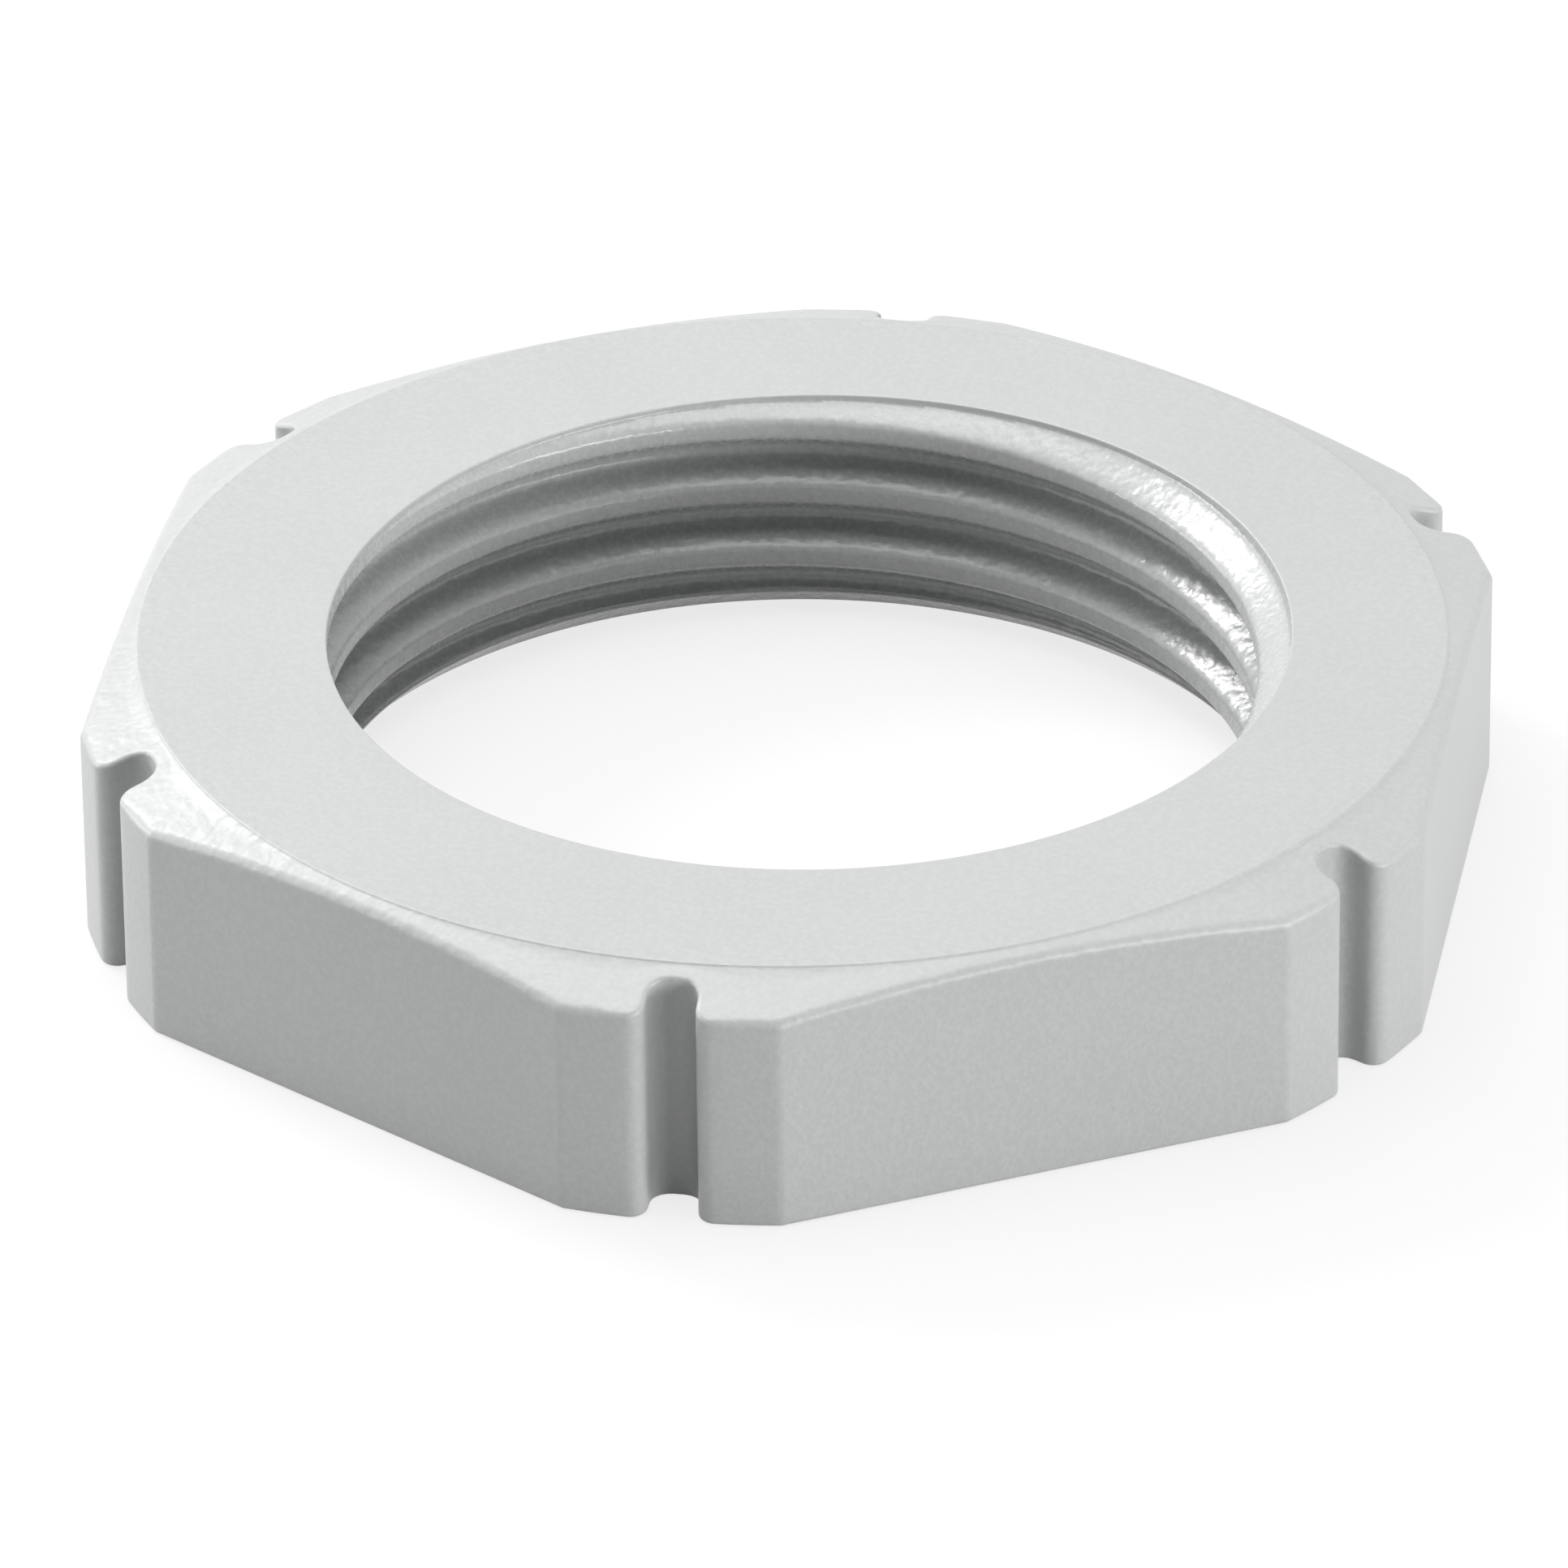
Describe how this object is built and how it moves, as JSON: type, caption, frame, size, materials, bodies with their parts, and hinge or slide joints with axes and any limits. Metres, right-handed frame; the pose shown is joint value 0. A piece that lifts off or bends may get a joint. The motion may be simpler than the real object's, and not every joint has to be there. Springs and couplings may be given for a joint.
{
  "type": "cable gland locknut",
  "caption": "Thin hexagonal plastic locknut with an internal metric thread, a conical shoulder and a spanner slot in each corner.",
  "frame": {"origin": "on the thread's axis, level with the flat bearing face that the nut lies on", "axes": "+Z along the thread's axis, out of the face with the conical shoulder; +X towards a flat; -Y towards a spanner slot"},
  "size_m": [0.027, 0.029, 0.0051],
  "materials": {
    "polyamide": "matte"
  },
  "bodies": {
    "root": {"locknut": "polyamide"}
  },
  "joints": []
}
